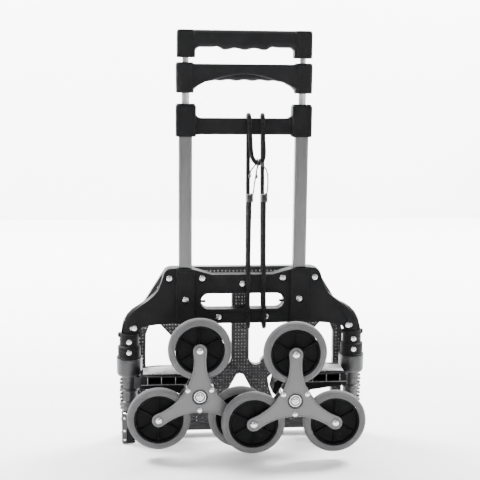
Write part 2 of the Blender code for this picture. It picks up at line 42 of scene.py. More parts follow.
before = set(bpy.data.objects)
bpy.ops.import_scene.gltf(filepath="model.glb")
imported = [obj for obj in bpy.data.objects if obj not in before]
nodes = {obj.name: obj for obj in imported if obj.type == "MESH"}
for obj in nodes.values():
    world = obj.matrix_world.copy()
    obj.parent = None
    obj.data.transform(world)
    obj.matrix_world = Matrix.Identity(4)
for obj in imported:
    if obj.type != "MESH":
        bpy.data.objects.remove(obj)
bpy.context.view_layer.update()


def put(x, y, z):
    return Vector((x * 0.001, (y + REAR) * 0.001, (z + LIFT) * 0.001))


# ---------------------------------------------------------------- materials
class Paint:
    """One procedural material, with its noise layers and bump."""

    def __init__(self, name, colour, rough, metal=0.0):
        self.mat = bpy.data.materials.new(name)
        self.mat.use_nodes = True
        self.tree = self.mat.node_tree
        self.shader = self.tree.nodes["Principled BSDF"]
        self.colour = colour
        self.shader.inputs["Base Color"].default_value = (*colour, 1.0)
        self.shader.inputs["Roughness"].default_value = rough
        self.shader.inputs["Metallic"].default_value = metal
        self.coord = self.add("ShaderNodeTexCoord").outputs["Object"]
        self.normal = None

    def add(self, kind, **settings):
        made = self.tree.nodes.new(kind)
        for key, value in settings.items():
            setattr(made, key, value)
        return made

    def link(self, a, b):
        self.tree.links.new(a, b)

    def noise(self, scale, detail=3.0, stretch=(1, 1, 1), rough=0.55):
        place = self.add("ShaderNodeMapping")
        place.inputs["Scale"].default_value = stretch
        self.link(self.coord, place.inputs["Vector"])
        made = self.add("ShaderNodeTexNoise")
        made.inputs["Scale"].default_value = scale
        made.inputs["Detail"].default_value = detail
        made.inputs["Roughness"].default_value = rough
        self.link(place.outputs["Vector"], made.inputs["Vector"])
        return made.outputs["Fac"]

    def ranged(self, source, low, high, a=0.3, b=0.7):
        made = self.add("ShaderNodeMapRange")
        for key, value in (("From Min", a), ("From Max", b), ("To Min", low), ("To Max", high)):
            made.inputs[key].default_value = value
        self.link(source, made.inputs["Value"])
        return made.outputs["Result"]

    def math(self, kind, a, b=None):
        made = self.add("ShaderNodeMath", operation=kind)
        for socket, value in zip(made.inputs, (a, b)):
            if value is None:
                continue
            if isinstance(value, (int, float)):
                socket.default_value = value
            else:
                self.link(value, socket)
        return made.outputs["Value"]

    def mix(self, factor, light, dark):
        made = self.add("ShaderNodeMix", data_type="RGBA")
        made.inputs["A"].default_value = (*dark, 1.0)
        made.inputs["B"].default_value = (*light, 1.0)
        self.link(factor, made.inputs["Factor"])
        return made.outputs["Result"]

    def mottled(self, source, spread):
        light = tuple(min(c * (1 + spread), 1.0) for c in self.colour)
        dark = tuple(c * (1 - spread) for c in self.colour)
        self.link(self.mix(source, light, dark), self.shader.inputs["Base Color"])
        return self

    def roughened(self, source, low, high):
        self.link(self.ranged(source, low, high), self.shader.inputs["Roughness"])
        return self

    def bump(self, height, strength, millimetres):
        made = self.add("ShaderNodeBump")
        made.inputs["Strength"].default_value = strength
        made.inputs["Distance"].default_value = millimetres * 0.001
        self.link(height, made.inputs["Height"])
        if self.normal is not None:
            self.link(self.normal, made.inputs["Normal"])
        self.normal = made.outputs["Normal"]
        self.link(self.normal, self.shader.inputs["Normal"])
        return self


def moulded(name, colour, rough, grain=1500.0, depth=0.06, strength=0.5, spread=0.12):
    """A moulded plastic: fine spark-eroded grain and slight wear in the gloss."""
    paint = Paint(name, colour, rough)
    broad = paint.noise(34.0, 4.0)
    paint.mottled(paint.ranged(broad, 0.0, 1.0), spread)
    paint.roughened(paint.noise(70.0, 5.0), rough - 0.07, rough + 0.08)
    paint.bump(paint.noise(grain, 3.0), strength, depth)
    paint.bump(paint.noise(26.0, 2.0), 0.12, 0.25)
    paint.shader.inputs["Specular IOR Level"].default_value = 0.06
    return paint


def metallic(name, colour, rough, metal, stretch=(1, 1, 1), scale=600.0, depth=0.02, strength=0.4, spread=0.1):
    """A metal with a directional or a cast grain."""
    paint = Paint(name, colour, rough, metal)
    grain = paint.noise(scale, 4.0, stretch)
    paint.mottled(paint.ranged(grain, 0.0, 1.0), spread)
    paint.roughened(paint.noise(scale * 0.35, 4.0, stretch), rough - 0.06, rough + 0.09)
    paint.bump(grain, strength, depth)
    return paint


black = moulded("black_plastic_finish", (0.0125, 0.0126, 0.0134), 0.5)
grip = moulded("grip_plastic_finish", (0.0155, 0.0157, 0.0166), 0.43, 900.0, 0.09, 0.6)
core = moulded("wheel_black_finish", (0.0042, 0.0043, 0.0047), 0.55)
rubber = moulded("tyre_grey_finish", (0.115, 0.115, 0.117), 0.6, 700.0, 0.10, 0.55, 0.10)
cable = Paint("hook_wire_finish", (0.020, 0.020, 0.022), 0.36, 0.2)
cable.mottled(cable.ranged(cable.noise(260.0, 4.0), 0, 1), 0.3)
cable.roughened(cable.noise(160.0, 3.0), 0.28, 0.46)
cable.bump(cable.noise(900.0, 3.0), 0.5, 0.05)
zinc = metallic("zinc_steel_finish", (0.70, 0.70, 0.71), 0.24, 1.0, scale=900.0)
dark_steel = metallic("bearing_steel_finish", (0.05, 0.05, 0.052), 0.38, 0.9, scale=900.0)
plate = metallic("silver_plate_finish", (0.12, 0.12, 0.122), 0.38, 0.55, scale=1300.0, depth=0.03, strength=0.35, spread=0.05)
tube = metallic("tube_aluminium_finish", (0.185, 0.185, 0.187), 0.38, 0.8, (9, 9, 0.12), 420.0, 0.03, 0.5, 0.10)
bright_tube = metallic("inner_tube_finish", (0.72, 0.72, 0.73), 0.3, 0.85, (9, 9, 0.12), 420.0, 0.02, 0.4, 0.06)
cast = metallic("cast_alloy_finish", (0.06, 0.06, 0.062), 0.36, 0.8, scale=520.0, depth=0.12, strength=0.7, spread=0.14)
# painted sheen: a light grey standing in for the gloss highlight on the black plastic arm's top and the edges of its
# ribs
painted_arm_sheen = metallic("arm_painted_sheen", (0.42, 0.42, 0.43), 0.55, 0.35, scale=330.0, depth=0.45, strength=0.9, spread=0.28)

toe = moulded("toe_plastic_finish", (0.066, 0.066, 0.068), 0.4, 1200.0, 0.05, 0.5, 0.12)


braid = Paint("cord_black_finish", (0.020, 0.020, 0.022), 0.72)
weave_at = braid.add("ShaderNodeUVMap")
weave_at.uv_map = "UVMap"
lean = braid.add("ShaderNodeSeparateXYZ")
braid.link(weave_at.outputs["UV"], lean.inputs["Vector"])
strands = []
for way in (1.0, -1.0):
    turn = braid.math("ADD", braid.math("MULTIPLY", lean.outputs["X"], 8.0), braid.math("MULTIPLY", lean.outputs["Y"], way * 0.62))
    strands.append(braid.math("SINE", braid.math("MULTIPLY", turn, 2 * math.pi)))
weave = braid.math("MAXIMUM", *strands)
# painted shade: the grooves between the braid's strands are coloured darker than the strand crests
braid.link(braid.mix(braid.ranged(weave, 0.0, 1.0, -0.2, 1.0), (0.013, 0.013, 0.014), (0.003, 0.003, 0.0034)), braid.shader.inputs["Base Color"])
braid.roughened(braid.noise(500.0, 3.0), 0.62, 0.84)
braid.shader.inputs["Specular IOR Level"].default_value = 0.15
braid.bump(weave, 0.9, 0.45)
braid.bump(braid.noise(2600.0, 2.0), 0.5, 0.06)


# ---------------------------------------------------------------- mesh tools
def prism(bm, outline, low, high, axis="Y"):
    order = {
        "Y": lambda u, v, w: put(u, w, v),
        "X": lambda u, v, w: put(w, u, v),
        "Z": lambda u, v, w: put(u, v, w),
    }[axis]
    rings = [[bm.verts.new(order(u, v, w)) for u, v in outline] for w in (low, high)]
    for i in range(len(outline)):
        j = (i + 1) % len(outline)
        bm.faces.new((rings[0][i], rings[0][j], rings[1][j], rings[1][i]))
    bm.faces.new(rings[0][::-1])
    bm.faces.new(rings[1])
    return bm


def block(bm, x0, x1, y0, y1, z0, z1):
    return prism(bm, [(x0, z0), (x1, z0), (x1, z1), (x0, z1)], y0, y1)


def turned(bm, centre, profile, segs=48, axis="Y", phase=0.5):
    cx, cy, cz = centre
    rings = []
    for r, h in profile:
        ring = []
        for i in range(1 if r <= 0 else segs):
            a = 2 * math.pi * (i + phase) / segs
            u, v = r * math.cos(a), r * math.sin(a)
            spot = {"Y": (cx + u, cy + h, cz + v), "X": (cx + h, cy + u, cz + v), "Z": (cx + u, cy + v, cz + h)}[axis]
            ring.append(bm.verts.new(put(*spot)))
        rings.append(ring)
    pairs = list(zip(rings, rings[1:]))
    if not (profile[0][0] <= 0 and profile[-1][0] <= 0):
        pairs.append((rings[-1], rings[0]))
    for a, b in pairs:
        for i in range(segs):
            j = (i + 1) % segs
            if len(a) == 1 and len(b) == 1:
                continue
            if len(a) == 1:
                bm.faces.new((a[0], b[j], b[i]))
            elif len(b) == 1:
                bm.faces.new((a[i], a[j], b[0]))
            else:
                bm.faces.new((a[i], a[j], b[j], b[i]))
    return bm


def rod(bm, centre, radius, low, high, segs=24, axis="Y"):
    return turned(bm, centre, [(0, low), (radius, low), (radius, high), (0, high)], segs, axis)


def arc(cx, cz, r, a0, a1, n):
    return [
        (cx + r * math.cos(math.radians(a0 + (a1 - a0) * i / (n - 1))), cz + r * math.sin(math.radians(a0 + (a1 - a0) * i / (n - 1))))
        for i in range(n)
    ]


def mirrored(points):
    return points + [(-x, z) for x, z in points[::-1] if abs(x) > 1e-6]


def rounded(w, d, r, cx, cy, n=7):
    spots = []
    for qx, qy, a in ((1, 1, 0), (-1, 1, 90), (-1, -1, 180), (1, -1, 270)):
        spots += arc(cx + qx * (w / 2 - r), cy + qy * (d / 2 - r), r, a, a + 90, n)
    return spots


def loft(bm, rings):
    """Skins rings of put() points, all with the same count, and closes both ends."""
    made = [[bm.verts.new(put(*spot)) for spot in ring] for ring in rings]
    for a, b in zip(made, made[1:]):
        for i in range(len(a)):
            j = (i + 1) % len(a)
            bm.faces.new((a[i], a[j], b[j], b[i]))
    bm.faces.new(made[0][::-1])
    bm.faces.new(made[-1])
    return bm


def from_cad(name, angle=1.0):
    """A CAD node's surface with its split corners joined again."""
    bm = bmesh.new()
    bm.from_mesh(nodes[name].data)
    bmesh.ops.remove_doubles(bm, verts=bm.verts, dist=2e-5)
    bmesh.ops.dissolve_limit(bm, angle_limit=math.radians(angle), verts=bm.verts, edges=bm.edges)
    return bm


def helper(bm):
    bmesh.ops.recalc_face_normals(bm, faces=bm.faces)
    mesh = bpy.data.meshes.new("helper")
    bm.to_mesh(mesh)
    bm.free()
    obj = bpy.data.objects.new("helper", mesh)
    bpy.context.scene.collection.objects.link(obj)
    return obj


def evaluated(obj):
    bpy.context.view_layer.update()
    mesh = bpy.data.meshes.new_from_object(obj.evaluated_get(bpy.context.evaluated_depsgraph_get()))
    old = obj.data
    obj.modifiers.clear()
    obj.data = mesh
    bpy.data.meshes.remove(old)
    return obj


def boolean(bm, other, operation="DIFFERENCE", own=False):
    """bm cut by other, or joined to it; both are used up, and the result is a new bmesh."""
    a, b = helper(bm), helper(other)
    modifier = a.modifiers.new("boolean", "BOOLEAN")
    modifier.object = b
    modifier.operation = operation
    modifier.solver = "EXACT"
    modifier.use_self = own
    evaluated(a)
    made = bmesh.new()
    made.from_mesh(a.data)
    for obj in (a, b):
        mesh = obj.data
        bpy.data.objects.remove(obj, do_unlink=True)
        bpy.data.meshes.remove(mesh)
    return made


def union(bm, *others):
    for other in others:
        bm = boolean(bm, other, "UNION")
    return bm


def show(name, bm, body, paint, stands_for=(), bevel=0.0, segs=2, angle=32, crease=38):
    """Makes bm a shown piece that rides on a body and takes its finish from a material slot."""
    if bevel:
        bmesh.ops.remove_doubles(bm, verts=bm.verts, dist=2e-5)
    bmesh.ops.recalc_face_normals(bm, faces=bm.faces)
    many = [f for f in bm.faces if len(f.verts) > 14]
    if many:
        bmesh.ops.triangulate(bm, faces=many)
    mesh = bpy.data.meshes.new(name)
    bm.to_mesh(mesh)
    bm.free()
    obj = bpy.data.objects.new(name, mesh)
    bpy.context.scene.collection.objects.link(obj)
    if bevel:
        soft = obj.modifiers.new("bevel", "BEVEL")
        soft.width = bevel * 0.001
        soft.segments = segs
        soft.limit_method = "ANGLE"
        soft.angle_limit = math.radians(angle)
        soft.use_clamp_overlap = False
        evaluated(obj)
    obj.data.name = name
    obj.data.shade_smooth()
    obj.data.set_sharp_from_angle(angle=math.radians(crease))
    weigh = obj.modifiers.new("weighted", "WEIGHTED_NORMAL")
    weigh.keep_sharp = True
    evaluated(obj)
    obj.data.name = name
    obj.data.materials.clear()
    obj.data.materials.append(paint.mat)
    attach(obj, body)
    if stands_for:
        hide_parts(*stands_for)
    return obj


def copied(source, name, body, offset, stands_for=()):
    """Another piece with a moved copy of a mesh."""
    mesh = source.data.copy()
    mesh.name = name
    mesh.transform(Matrix.Translation(Vector(offset) * 0.001))
    obj = bpy.data.objects.new(name, mesh)
    bpy.context.scene.collection.objects.link(obj)
    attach(obj, body)
    if stands_for:
        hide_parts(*stands_for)
    return obj


# ---------------------------------------------------------------- wheels
def tyre_profile():
    half = [(39.9, -7.5), (40.5, -8.0), (42.0, -8.0), (42.5, -7.4), (43.1, -7.35), (43.7, -7.8), (45.4, -7.7), (47.2, -7.1),
            (48.9, -6.1), (50.1, -4.8), (50.9, -3.2), (51.3, -1.4)]
    return half + [(r, -h) for r, h in half[::-1]]


def core_profile():
    half = [(3.4, -7.6), (3.9, -8.0), (7.6, -8.0), (8.4, -7.4), (9.2, -2.4), (34.4, -2.0), (35.4, -2.6), (36.4, -6.4), (37.0, -7.0), (39.1, -7.0), (39.5, -6.6)]
    return half + [(r, -h) for r, h in half[::-1]]


def wheel_core(centre):
    bm = turned(bmesh.new(), centre, core_profile(), 72)
    cx, cy, cz = centre
    for k in range(6):
        a = math.radians(90 + 60 * k)
        u, v = Vector((math.cos(a), math.sin(a))), Vector((-math.sin(a), math.cos(a)))
        rings = []
        for r in (7.5, 9.5, 20, 31, 36.0, 37.6):
            deep = 6.6 if r < 10 else (5.3 if r < 31 else 6.2)
            wide = 0.85 if r > 10 else 1.2
            ring = []
            for w, h in ((-wide, -deep + 0.5), (-wide * 0.55, -deep), (wide * 0.55, -deep), (wide, -deep + 0.5),
                         (wide, deep - 0.5), (wide * 0.55, deep), (-wide * 0.55, deep), (-wide, deep - 0.5)):
                p = u * r + v * w
                ring.append((cx + p.x, cy + h, cz + p.y))
            rings.append(ring)
        loft(bm, rings)
    return bm


first = {}
for side, s in SIDES.items():
    for number, a in enumerate(SPOKES, 1):
        x = s * HUB_X + ARM_R * math.cos(math.radians(a))
        z = HUB_Z + ARM_R * math.sin(math.radians(a))
        y = FACE_Y[side] + 2.5 + 0.8 + 8.0
        body = f"{side}_wheel_{number}"
        if not first:
            first["spot"] = (x, y, z)
            first["tyre"] = show("rubber_" + body, turned(bmesh.new(), (x, y, z), tyre_profile(), 96), body, rubber, (f"tyre_{side}_{number}",), crease=50)
            first["core"] = show("disc_" + body, wheel_core((x, y, z)), body, core, (f"wheel_core_{side}_{number}",), crease=34)
            continue
        move = [b - a for a, b in zip(first["spot"], (x, y, z))]
        copied(first["tyre"], "rubber_" + body, body, move, (f"tyre_{side}_{number}",))
        copied(first["core"], "disc_" + body, body, move, (f"wheel_core_{side}_{number}",))


# ---------------------------------------------------------------- tri-star plates
def star_outline(cx, cz, lobe, waist, n=14):
    d = (ARM_R ** 2 - (waist - lobe) ** 2) / (ARM_R + 2 * (lobe - waist))
    spots = []
    for a in SPOKES:
        lx, lz = ARM_R * math.cos(math.radians(a)), ARM_R * math.sin(math.radians(a))
        ends = []
        for b in (a - 60, a + 60):
            bx, bz = d * math.cos(math.radians(b)), d * math.sin(math.radians(b))
            ends.append(math.degrees(math.atan2(bz - lz, bx - lx)))
        while ends[1] < ends[0]:
            ends[1] += 360
        spots += arc(lx, lz, lobe, ends[0], ends[1], n)
        bx, bz = d * math.cos(math.radians(a + 60)), d * math.sin(math.radians(a + 60))
        nx, nz = ARM_R * math.cos(math.radians(a + 120)), ARM_R * math.sin(math.radians(a + 120))
        t0 = math.degrees(math.atan2(lz - bz, lx - bx))
        t1 = math.degrees(math.atan2(nz - bz, nx - bx))
        while t1 > t0:
            t1 -= 360
        spots += arc(bx, bz, d - waist, t0, t1, n + 4)[1:-1]
    return [(cx + x, cz + z) for x, z in spots]


def star_plate(side, low, outward):
    """A pressed plate: rounded edge, pressed line inside it, a raised ring round each bolt."""
    s = SIDES[side]
    cx, cz = s * HUB_X, HUB_Z
    hi = low + 2.5
    bm = bmesh.new()
    # the outward face sits at low when outward is -1, and at hi when it is 1
    face, back = (low, hi) if outward < 0 else (hi, low)
    steps = [(0.0, back - outward * -0.35), (0.35, back)] if False else [(0.35, back), (0.0, back + outward * 0.5), (0.0, face - outward * 0.55), (0.22, face - outward * 0.16),
             (0.6, face), (2.1, face), (2.4, face - outward * 0.42), (3.0, face - outward * 0.42), (3.35, face)]
    rings = []
    for inset, y in steps:
        rings.append([bm.verts.new(put(x, y, z)) for x, z in star_outline(cx, cz, 11.2 - inset, 26.0 - inset)])
    count = len(rings[0])
    for a, b in zip(rings, rings[1:]):
        for i in range(count):
            j = (i + 1) % count
            bm.faces.new((a[i], a[j], b[j], b[i]))
    spots = [(cx + ARM_R * math.cos(math.radians(a)), cz + ARM_R * math.sin(math.radians(a))) for a in SPOKES]
    rivets = [(cx + 22 * math.cos(math.radians(a)), cz + 22 * math.sin(math.radians(a))) for a in (30, 150, 270)]

    def hole(x, z, profile, segs):
        """Rings from the face down through the plate; the first and last are returned."""
        loops = []
        for r, y in profile:
            loops.append([bm.verts.new(put(x + r * math.cos(2 * math.pi * k / segs), y, z + r * math.sin(2 * math.pi * k / segs))) for k in range(segs)])
        for a, b in zip(loops, loops[1:]):
            for i in range(segs):
                j = (i + 1) % segs
                bm.faces.new((a[i], a[j], b[j], b[i]))
        return loops[0], loops[-1]

    fronts, backs = [rings[-1]], [rings[0]]
    up = outward
    for x, z in spots:
        a, b = hole(x, z, [(7.7, face), (7.3, face + up * 0.35), (6.6, face + up * 0.5), (6.0, face + up * 0.35), (5.8, face + up * 0.1), (3.4, face), (3.3, back)], 32)
        fronts.append(a)
        backs.append(b)
    for x, z in rivets:
        a, b = hole(x, z, [(5.6, face), (5.2, face + up * 0.18), (3.2, face + up * 0.18), (3.0, back)], 20)
        fronts.append(a)
        backs.append(b)
    a, b = hole(cx, cz, [(15.4, face), (14.9, face + up * 0.4), (13.4, face + up * 0.4), (12.8, face + up * 0.1), (12.5, face - up * 0.3), (12.5, back)], 56)
    fronts.append(a)
    backs.append(b)
    for loops in (fronts, backs):
        edges = []
        for loop in loops:
            for i in range(len(loop)):
                pair = (loop[i], loop[(i + 1) % len(loop)])
                edges.append(bm.edges.get(pair) or bm.edges.new(pair))
        bmesh.ops.triangle_fill(bm, use_beauty=True, use_dissolve=False, edges=edges)
    return bm


def dome(bm, centre, radius, face, rise, foot=0.0, segs=32):
    """A round domed head standing in front of face (towards -Y)."""
    profile = [(0, face - rise)]
    for k in range(1, 8):
        a = math.pi / 2 * k / 7
        profile.append((radius * math.sin(a), face - foot - (rise - foot) * math.cos(a)))
    profile += [(radius, face), (0, face)]
    return turned(bm, centre, profile, segs)


for side, s in SIDES.items():
    face = FACE_Y[side]
    back = face + 2.5 + 0.8 + 16.0 + 0.8
    cx, cz = s * HUB_X, HUB_Z
    star = f"{side}_star"
    show(f"pressed_plate_front_{side}", star_plate(side, face, -1), star, plate, (f"star_plate_front_{side}",), crease=28)
    show(f"pressed_plate_rear_{side}", star_plate(side, back, 1), star, plate, (f"star_plate_rear_{side}",), crease=28)
    rivets = bmesh.new()
    for a in (30, 150, 270):
        x, z = cx + 22 * math.cos(math.radians(a)), cz + 22 * math.sin(math.radians(a))
        dome(rivets, (x, 0, z), 4.2, face - 0.25, 2.1, 0.4)
        turned(rivets, (x, 0, z), [(0, face - 0.3), (2.7, face - 0.3), (2.7, face + 2.9), (4.5, face + 3.2), (4.5, back - 0.3), (4.0, back + 0.1), (0, back + 0.1)], 24)
        dome_back = [(0, back + 2.5), (3.9, back + 2.5), (3.9, back + 3.0), (3.2, back + 3.8), (2.0, back + 4.1), (0, back + 4.2)]
        turned(rivets, (x, 0, z), dome_back, 24)
    show(f"spacer_rivets_{side}", rivets, star, zinc)
    # hub bearing: outer race, dark seal and inner race, front and back
    ring = bmesh.new()
    turned(ring, (cx, 0, cz), [(8.0, face - 0.1), (8.3, face - 0.5), (9.3, face - 0.5), (9.6, face - 0.1), (9.6, face + 2.9), (8.0, face + 2.9)], 64)
    turned(ring, (cx, 0, cz), [(6.5, face + 3.2), (9.6, face + 3.2), (9.6, back - 0.8), (6.5, back - 0.8)], 48)
    turned(ring, (cx, 0, cz), [(6.5, back - 0.4), (12.2, back - 0.4), (12.2, back + 3.1), (6.5, back + 3.1)], 64)
    show(f"bearing_race_{side}", ring, star, zinc, (f"hub_bearing_{side}",), crease=30)
    seal = turned(bmesh.new(), (cx, 0, cz), [(6.6, face + 1.6), (7.9, face + 1.3), (9.7, face + 1.0), (10.2, face + 0.2), (11.6, face + 0.2), (12.3, face + 0.7), (12.3, face + 3.1), (6.6, face + 3.1)], 64)
    show(f"bearing_seal_{side}", seal, star, dark_steel, crease=30)
    axle = bmesh.new()
    turned(axle, (cx, 0, cz), [(0, face - 1.0), (1.6, face - 1.0), (1.9, face - 3.0), (2.6, face - 3.25), (4.0, face - 2.9), (4.9, face - 2.0), (5.2, face - 1.2), (5.2, face - 0.9),
                               (6.0, face - 0.9), (6.2, face - 0.7), (6.2, -14.5), (0, -14.5)], 40)
    show(f"hub_bolt_{side}", axle, f"{side}_swing", zinc, (f"hub_axle_{side}",), crease=30)
    for number, a in enumerate(SPOKES, 1):
        x, z = cx + ARM_R * math.cos(math.radians(a)), cz + ARM_R * math.sin(math.radians(a))
        bolt = dome(bmesh.new(), (x, 0, z), 5.5, face - 0.35, 3.0, 0.7, 36)
        turned(bolt, (x, 0, z), [(0, face - 0.36), (3.0, face - 0.36), (3.0, back + 2.8), (0, back + 2.8)], 24)
        turned(bolt, (x, 0, z), [(0, back + 2.75), (4.6, back + 2.75), (4.6, back + 3.9), (3.8, back + 4.2), (0, back + 4.3)], 6)
        show(f"wheel_rivet_{side}_{number}", bolt, star, zinc, (f"wheel_bolt_{side}_{number}",), crease=30)


# ---------------------------------------------------------------- screws
def screw(bm, x, z, face, radius=5.2, rise=1.6, axis="Y"):
    """A pan head with a cross recess, its seat at face."""
    head = dome(bmesh.new(), (x, 0, z), radius, face, rise, 0.5, 28)
    cross = bmesh.new()
    w, l = radius * 0.17, radius * 0.62
    for u, v in ((w, l), (l, w)):
        loft(cross, [[(x - u, face - rise - 0.5, z - v), (x + u, face - rise - 0.5, z - v), (x + u, face - rise - 0.5, z + v), (x - u, face - rise - 0.5, z + v)],
                     [(x - u * 0.7, face - 0.5, z - v * 0.55), (x + u * 0.7, face - 0.5, z - v * 0.55), (x + u * 0.7, face - 0.5, z + v * 0.55), (x - u * 0.7, face - 0.5, z + v * 0.55)]])
    head = boolean(head, cross, own=True)
    mesh = bpy.data.meshes.new("screw")
    head.to_mesh(mesh)
    head.free()
    bm.from_mesh(mesh)
    bpy.data.meshes.remove(mesh)
    return bm


SCREWS = [(0, 256)] + [(k * x, z) for k in (-1, 1) for x, z in ((121.5, 266), (67.2, 265.6), (95.0, 230.4), (39.5, 199.5), (180, 183.4))]
heads = bmesh.new()
for x, z in SCREWS:
    face = -3.0 if abs(abs(x) - TUBE_X) < 15 or abs(x) > 165 else 0.0
    screw(heads, x, z, face + 3.15)
    rod(heads, (x, 0, z), 2.1, face + 3.2, 16, 12)
show("bracket_screws", heads, "frame", zinc, crease=30)
for side, s in SIDES.items():
    heads = bmesh.new()
    screw(heads, s * COL_X, 161, -6.1, 4.6, 1.7)
    screw(heads, s * COL_X, 143.6, -8.7, 4.4, 1.6)
    for z, y in ((161, -6.0), (143.6, -8.6)):
        rod(heads, (s * COL_X, 0, z), 2.0, y, 4, 12)
    show(f"collar_screws_{side}", heads, "frame", zinc, crease=30)

# ---------------------------------------------------------------- frame bracket
SLOT = arc(56, 227, 13.2, -90, 90, 17) + arc(-56, 227, 13.2, 90, 270, 17)


def eased(points, sharp, step=2.5):
    """An outline through the points, rounded everywhere but at the sharp ones."""
    made = []
    count = len(points)
    for i in range(count):
        p0, p1, p2, p3 = (Vector(points[(i + k) % count]) for k in (-1, 0, 1, 2))
        if points[i] in sharp:
            p0 = p1
        if points[(i + 1) % count] in sharp:
            p3 = p2
        n = max(1, int((p2 - p1).length / step))
        if (p2 - p1).length > 45 and points[i] in sharp:
            n = 1
        for k in range(n):
            t = k / n
            made.append(tuple(0.5 * ((2 * p1) + (p2 - p0) * t + (2 * p0 - 5 * p1 + 4 * p2 - p3) * t * t + (p3 - 3 * p2 + 3 * p1 - p0) * t ** 3)))
    return made


HALF = [(50, 272.2), (78, 280), (92, 284), (111, 283.5), (124, 281.5), (130.5, 274), (134.5, 260), (142, 243.5), (156, 230), (171, 219.5), (184.8, 207.5),
        (194.6, 195), (199.4, 184), (201, 174.8), (174.5, 174.8), (171.5, 180.2), (166.0, 184), (158, 186.2), (138, 188.6), (118, 189.5), (50, 189.5)]
outline = HALF + [(-x, z) for x, z in HALF[::-1]]
corners_kept = [p for p in outline if abs(p[0]) in (50, 201, 174.5, 118)]
shape = eased(outline, corners_kept)
for half, inner, outer, bulge in (("rear", 10.85, 0.0, -3.0), ("front", 11.15, 22.0, 2.5)):
    shell = prism(bmesh.new(), shape, min(inner, outer), max(inner, outer))
    low, high = sorted((inner, outer + bulge))
    for s in (-1, 1):
        pad = bmesh.new()
        soft = [(s * x, z) for x, z in ((80.6, 191.2), (80.0, 192.2), (80.0, 279.6), (81.2, 281.6), (108.8, 282.4), (110.0, 281.2), (110.0, 192.2), (109.4, 191.2))]
        prism(pad, soft, low, high)
        shell = union(shell, pad)
    cutters = prism(bmesh.new(), SLOT, -10, 40)
    for s in (-1, 1):
        prism(cutters, rounded(22.6, 18.6, 4.2, s * TUBE_X, TUBE_Y), 195.7, 300, "Z")
        rod(cutters, (s * COL_X, COL_Y, 0), 9.35, 170, 197.3, 32, "Z")
    shell = boolean(shell, cutters)
    cutters = bmesh.new()
    if half == "rear":
        for x, z in SCREWS:
            seat = (-3.0 if abs(abs(x) - TUBE_X) < 15 else 0.0) + 3.15
            rod(cutters, (x, 0, z), 6.9, -12, seat, 40)
        for k in (-5, -3, -1, 1, 3, 5):
            block(cutters, k * 7.2 - 0.8, k * 7.2 + 0.8, -2, 1.2, 270.2, 274)
    else:
        for x, z in SCREWS:
            rod(cutters, (x, 0, z), 2.4, 5.0, 19.4, 12)
    shell = boolean(shell, cutters)
    show(f"bracket_shell_{half}", shell, "frame", black, (f"frame_bracket_{half}",), bevel=0.5, segs=2)
for side, s in SIDES.items():
    path = [((188.0, 9.0, 174.9), 12.9), ((187.6, 9.0, 182.0), 12.9), ((185.6, 9.1, 190.5), 12.8), ((181.4, 9.3, 198.2), 12.6), ((175.0, 9.7, 205.2), 12.2), ((167.0, 10.3, 211.0), 11.5), ((157.5, 10.8, 215.6), 10.4), ((148.0, 11.0, 218.5), 9.2)]
    rings = []
    for i, ((x, y, z), r) in enumerate(path):
        a, b = Vector(path[max(i - 1, 0)][0]), Vector(path[min(i + 1, len(path) - 1)][0])
        ahead = (b - a).normalized() if i else Vector((0, 0, 1))
        side_way = Vector((0, 1, 0))
        up = ahead.cross(side_way).normalized()
        rings.append([(s * (x + up.x * r * math.cos(t)), y + side_way.y * r * math.sin(t), z + up.z * r * math.cos(t)) for t in [2 * math.pi * k / 40 for k in range(40)]])
    elbow = loft(bmesh.new(), rings)
    bore_at = bmesh.new()
    rod(bore_at, (s * COL_X, COL_Y, 0), 9.35, 168, 196.0, 32, "Z")
    elbow = boolean(elbow, bore_at)
    seat = bmesh.new()
    rod(seat, (s * 180, 0, 183.4), 6.5, -20, 0.15, 40)
    elbow = boolean(elbow, seat)
    show(f"elbow_{side}", elbow, "frame", black, crease=40)
rim = []
for grow, y in ((3.4, 0.05), (3.0, -0.75), (2.2, -1.15), (0.9, -1.15), (0.25, -0.75), (0.05, 0.05), (0.05, 6.0)):
    rim.append([(x, y, z) for x, z in arc(56, 227, 13.2 + grow, -90, 90, 17) + arc(-56, 227, 13.2 + grow, 90, 270, 17)])
lip = bmesh.new()
made = [[lip.verts.new(put(*p)) for p in ring] for ring in rim]
made.append([lip.verts.new(put(x, 6.0, z)) for x, z in arc(56, 227, 13.2 + 3.4, -90, 90, 17) + arc(-56, 227, 13.2 + 3.4, 90, 270, 17)])
for a, b in zip(made, made[1:] + made[:1]):
    for i in range(len(a)):
        j = (i + 1) % len(a)
        lip.faces.new((a[i], a[j], b[j], b[i]))
show("slot_lip", lip, "frame", black, crease=40)
for side, s in SIDES.items():
    tabs = bmesh.new()
    block(tabs, *sorted((s * 61.5, s * 69.0)), 1.5, 5.5, 225.2, 228.8)
    block(tabs, *sorted((s * 84, s * 106)), -4.0, -2.6, 276.8, 280.4)
    block(tabs, *sorted((s * 82.2, s * 107.8)), -3.9, -2.6, 192.2, 195.4)
    show(f"bracket_ribs_{side}", tabs, "frame", black, bevel=0.45, segs=2)

